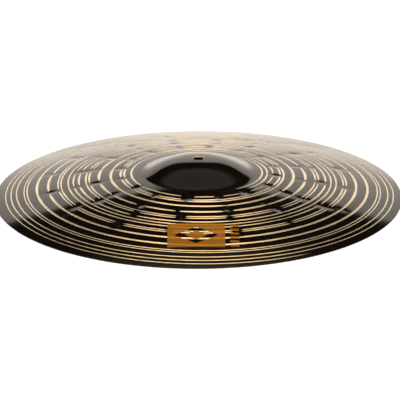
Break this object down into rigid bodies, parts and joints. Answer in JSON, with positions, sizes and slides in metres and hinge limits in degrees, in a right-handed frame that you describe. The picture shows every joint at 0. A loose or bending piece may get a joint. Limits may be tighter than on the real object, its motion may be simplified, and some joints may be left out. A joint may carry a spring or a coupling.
{
  "type": "crash cymbal",
  "caption": "Round hammered bronze crash cymbal with a domed bell, a shallow curved bow, a thin edge and a centre mounting hole.",
  "frame": {"origin": "on the axis of the centre hole, in the plane that the edge rests on with the bell up", "axes": "+Z along the axis, from the edge to the bell; -Y towards the printed marks"},
  "size_m": [0.4572, 0.4572, 0.0431],
  "materials": {
    "bronze": "dark glossy patina over hammered bronze, with bright bare rings where a lathe has cut through it",
    "ink": "thin see-through printed ink"
  },
  "bodies": {
    "root": {"cymbal_plate": "bronze", "printed_emblem": "ink", "printed_side_mark": "ink"}
  },
  "joints": []
}
